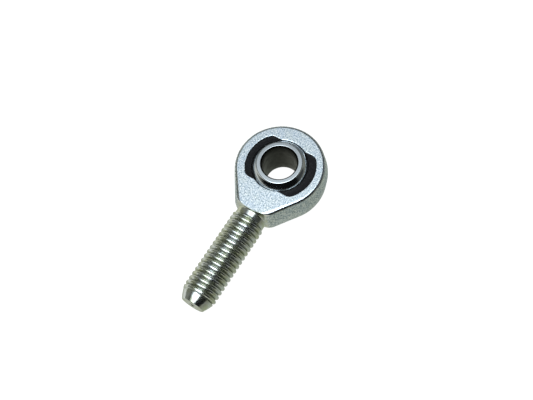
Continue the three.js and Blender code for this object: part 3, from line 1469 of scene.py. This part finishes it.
@dataclass
class Ball:
    """The inner ring: a ground sphere with two flat rims and a dark bore through them."""

    radius: float = 11.11
    half_width: float = 8.0
    bore_radius: float = 6.0
    bore_chamfer: float = 0.45
    rim_edge: float = 0.16
    segments: int = 256
    sphere_steps: int = 20
    sharp_angle: float = math.radians(35)
    dark_share: float = 0.9
    ground: GroundSteel = GroundSteel("ground bearing steel")
    bore: DarkBore = DarkBore("dark steel bore")

    def upper_profile(self) -> Profile:
        """Half of the section, from the middle of the bore over the rim to the widest place.

        Returns:
            Points as (radius, height).
        """
        top, edge = self.half_width, self.rim_edge
        bore_top = top - self.bore_chamfer
        rim_outer = math.sqrt(self.radius**2 - top**2)
        low = math.asin((top - edge) / self.radius)
        sphere = [
            (self.radius * math.cos(a), self.radius * math.sin(a))
            for a in np.linspace(low, 0, self.sphere_steps + 1)
        ]
        start_x, start_z = sphere[0]
        rim_start = rim_outer - 0.5 * edge
        corner_x, corner_z = rim_outer + 0.1 * edge, top - 0.12 * edge
        mouth = self.bore_radius + self.bore_chamfer

        # Points close to a corner keep its round small.
        return [
            (self.bore_radius, 0.0),
            (self.bore_radius, 0.5 * bore_top),
            (self.bore_radius, bore_top - 0.08),
            (self.bore_radius + 0.02, bore_top),
            (mouth - 0.02, top - 0.03),
            (mouth + 0.04, top),
            (mouth + 0.12, top),
            (rim_start - 0.1, top),
            (rim_start, top),
            (corner_x, corner_z),
            (start_x + 0.35 * (corner_x - start_x) + 0.03, start_z + 0.35 * (corner_z - start_z)),
            *sphere,
        ]

    def build(self) -> bpy.types.Object:
        """Make the ball and dress it.

        Returns:
            The piece.
        """
        upper = turned(self.upper_profile(), self.segments)
        mesh = lofted([*upper, *mirrored(upper[1:-1])], wrapped=True)
        mesh.set_sharp_from_angle(angle=self.sharp_angle)
        piece = new_piece("ball_inner_ring", mesh, [self.ground.material(), self.bore.material()])
        limit = (self.bore_radius + self.dark_share * self.bore_chamfer) * MM
        for face in mesh.polygons:
            face.material_index = int(face.center.xy.length < limit)
        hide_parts("ball")
        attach(piece, "ball")
        return piece


# ---------------------------------------------------------------------------------------------
# Studio and camera
# ---------------------------------------------------------------------------------------------


@dataclass
class Studio:
    """A pale table top under one large soft light, with dim surroundings.

    The light is a rectangle overhead. Its edges are given as slopes: distance to the side over
    height. Surfaces of metal mirror it, the dim room beside it and the pale table. The room's
    and the table's ranges are parts of a view direction of length one.
    """

    light_right: float = 0.44
    light_left: float = -0.34
    light_front: float = -1.1
    light_back: float = 0.31
    right_softness: float = 0.05
    left_softness: float = 0.42
    front_softness: float = 0.1
    back_softness: float = 0.35
    light_strength: float = 4.6
    light_colour: str = "#ecf6fd"
    front_colour: str = "#0e0f10"
    right_colour: str = "#46494a"
    right_range: tuple[float, float] = (-0.05, 0.2)
    left_colour: str = "#7d8078"
    left_range: tuple[float, float] = (-0.4, -0.8)
    back_colour: str = "#a4a9a6"
    back_range: tuple[float, float] = (0.55, 0.85)
    back_top: tuple[float, float] = (0.35, 0.105)
    near_table: tuple[str, str] = ("#aab1a5", "#b9bdb1")
    far_table: tuple[str, str] = ("#8b8d83", "#e6e8e2")
    open_side_range: tuple[float, float] = (0.6, -0.4)
    far_range: tuple[float, float] = (-0.75, -0.2)
    horizon: tuple[float, float] = (0.02, -0.02)
    floor_half_size: float = 3000.0
    floor_gap: float = 0.02
    floor_white: float = 0.2
    floor_glow: float = 0.96

    def world(self) -> bpy.types.World:
        """Build the light, the room and the table's glow, as seen from the object.

        Returns:
            The world.
        """
        world = bpy.data.worlds.new("soft studio")
        world.use_nodes = True
        tree = world.node_tree
        tree.nodes.clear()
        place = add_node(tree, "ShaderNodeTexCoord").outputs["Generated"]
        parts = add_node(tree, "ShaderNodeSeparateXYZ", (place,)).outputs
        height = add_node(
            tree, "ShaderNodeMath", (parts["Z"], self.horizon[0]), operation="MAXIMUM"
        )
        aside, along = (
            add_node(
                tree, "ShaderNodeMath", (parts[axis], height.outputs[0]), operation="DIVIDE"
            ).outputs[0]
            for axis in "XY"
        )
        open_way = add_node(
            tree, "ShaderNodeMath", (parts["Y"], 0.5, parts["X"]), operation="MULTIPLY_ADD"
        ).outputs[0]

        # Each row gives what fades, where its share is nothing and where it is whole.
        right, right_soft = self.light_right, self.right_softness
        left, left_soft = self.light_left, self.left_softness
        front, front_soft = self.light_front, self.front_softness
        back, back_soft = self.light_back, self.back_softness
        fades = {
            "lit from left": (aside, left - left_soft, left + left_soft),
            "lit to right": (aside, right + right_soft, right - right_soft),
            "lit from front": (along, front - front_soft, front + front_soft),
            "lit to back": (along, back + back_soft, back - back_soft),
            "right room": (parts["Y"], *self.right_range),
            "left room": (parts["X"], *self.left_range),
            "back room": (parts["Y"], *self.back_range),
            "low": (parts["Z"], *self.back_top),
            "open side": (open_way, *self.open_side_range),
            "far": (parts["Z"], *self.far_range),
            "below": (parts["Z"], *self.horizon),
        }
        share = {
            name: add_node(
                tree, "ShaderNodeMapRange", ends, interpolation_type="SMOOTHSTEP"
            ).outputs["Result"]
            for name, ends in fades.items()
        }
        strength: Any = self.light_strength
        for name in ("lit from left", "lit to right", "lit from front", "lit to back"):
            strength = add_node(
                tree, "ShaderNodeMath", (strength, share[name]), operation="MULTIPLY"
            ).outputs[0]
        behind = add_node(
            tree, "ShaderNodeMath", (share["back room"], share["low"]), operation="MULTIPLY"
        ).outputs[0]

        # Colours laid over one another, each where its share is
        near, far = (
            add_node(
                tree,
                "ShaderNodeMix",
                {"Factor": share["open side"], "A": linear(shaded), "B": linear(bright)},
                data_type="RGBA",
            ).outputs["Result"]
            for shaded, bright in (self.near_table, self.far_table)
        )
        table = add_node(
            tree,
            "ShaderNodeMix",
            {"Factor": share["far"], "A": near, "B": far},
            data_type="RGBA",
        ).outputs["Result"]
        layers = (
            (share["right room"], linear(self.right_colour)),
            (share["left room"], linear(self.left_colour)),
            (behind, linear(self.back_colour)),
            (share["below"], table),
        )
        room: Any = linear(self.front_colour)
        for factor, colour in layers:
            room = add_node(
                tree,
                "ShaderNodeMix",
                {"Factor": factor, "A": room, "B": colour},
                data_type="RGBA",
            ).outputs["Result"]
        glow = add_node(tree, "ShaderNodeBackground", (room, 1.0))
        light = add_node(tree, "ShaderNodeBackground", (linear(self.light_colour), strength))
        studio = add_node(tree, "ShaderNodeAddShader", (glow.outputs[0], light.outputs[0]))
        backdrop = add_node(tree, "ShaderNodeBackground", ((1, 1, 1, 1), 1.0))
        seen = add_node(tree, "ShaderNodeLightPath").outputs["Is Camera Ray"]
        mix = add_node(
            tree, "ShaderNodeMixShader", (seen, studio.outputs[0], backdrop.outputs[0])
        )
        add_node(tree, "ShaderNodeOutputWorld", (mix.outputs[0],))
        return world

    def floor(self) -> bpy.types.Object:
        """A pale table top just under the object, that takes a faint shadow.

        Returns:
            The floor, marked as stage.
        """
        material = bpy.data.materials.new("pale lit table top")
        material.use_nodes = True
        tree = material.node_tree
        tree.nodes.clear()
        white = (self.floor_white, self.floor_white, self.floor_white, 1)
        paint = add_node(tree, "ShaderNodeBsdfDiffuse", {"Color": white})
        glow = {"Color": (1, 1, 1, 1), "Strength": self.floor_glow}
        lit = add_node(tree, "ShaderNodeEmission", glow)
        both = add_node(tree, "ShaderNodeAddShader", (paint.outputs[0], lit.outputs[0]))
        add_node(tree, "ShaderNodeOutputMaterial", (both.outputs[0],))
        half = self.floor_half_size * MM
        level = CAD_BOX[0].z - self.floor_gap * MM
        sides = ((-half, -half), (half, -half), (half, half), (-half, half))
        mesh = bpy.data.meshes.new("floor")
        mesh.from_pydata([(x, y, level) for x, y in sides], [], [(0, 1, 2, 3)])
        floor = new_piece("floor", mesh, [material])
        floor.visible_diffuse = False
        floor.visible_glossy = False
        floor.visible_shadow = False
        return floor

    def build(self) -> None:
        """Set up the world, the floor and plain colours in the output."""
        scene = bpy.context.scene
        scene.world = self.world()
        self.floor()
        scene.view_settings.view_transform = "Standard"
        scene.view_settings.look = "None"


@dataclass
class View:
    """The camera: where it aims, the side and height it looks from, its roll and its lens."""

    aim: tuple[float, float, float] = (1.0688, -11.1412, 0.0)
    distance: float = 275.035
    azimuth: float = 43.9027
    elevation: float = 65.0937
    roll: float = -12.8424
    lens: float = 54.7244
    sensor_width: float = 36.0

    def build(self) -> bpy.types.Object:
        """Make the camera and give it to the scene.

        Returns:
            The camera.
        """
        azimuth, elevation = math.radians(self.azimuth), math.radians(self.elevation)
        level = math.cos(elevation)
        aside, along = math.sin(azimuth) * level, -math.cos(azimuth) * level
        back = Vector((aside, along, math.sin(elevation)))
        data = bpy.data.cameras.new("camera")
        data.lens = self.lens
        data.sensor_width = self.sensor_width
        data.clip_start, data.clip_end = 0.01, 20.0
        camera = bpy.data.objects.new("camera", data)
        upright = (-back).to_track_quat("-Z", "Y").to_matrix()
        turn = upright @ Matrix.Rotation(math.radians(self.roll), 3, "Z")
        place = Matrix.Translation((Vector(self.aim) + back * self.distance) * MM)
        camera.matrix_world = place @ turn.to_4x4()
        bpy.context.scene.collection.objects.link(camera)
        bpy.context.scene.camera = camera
        return camera


def main() -> None:
    """Build the view, the studio and the three pieces, in that order."""
    View().build()
    Studio().build()
    makers: tuple[Callable[[], bpy.types.Object], ...]
    makers = (Housing().build, Liner().build, Ball().build)
    for make in makers:
        piece = make()
        LOG.info("%s: %d faces", piece.name, len(piece.data.polygons))


if __name__ == "__main__":
    logging.basicConfig(level=logging.INFO, format="%(name)s: %(message)s")
    main()
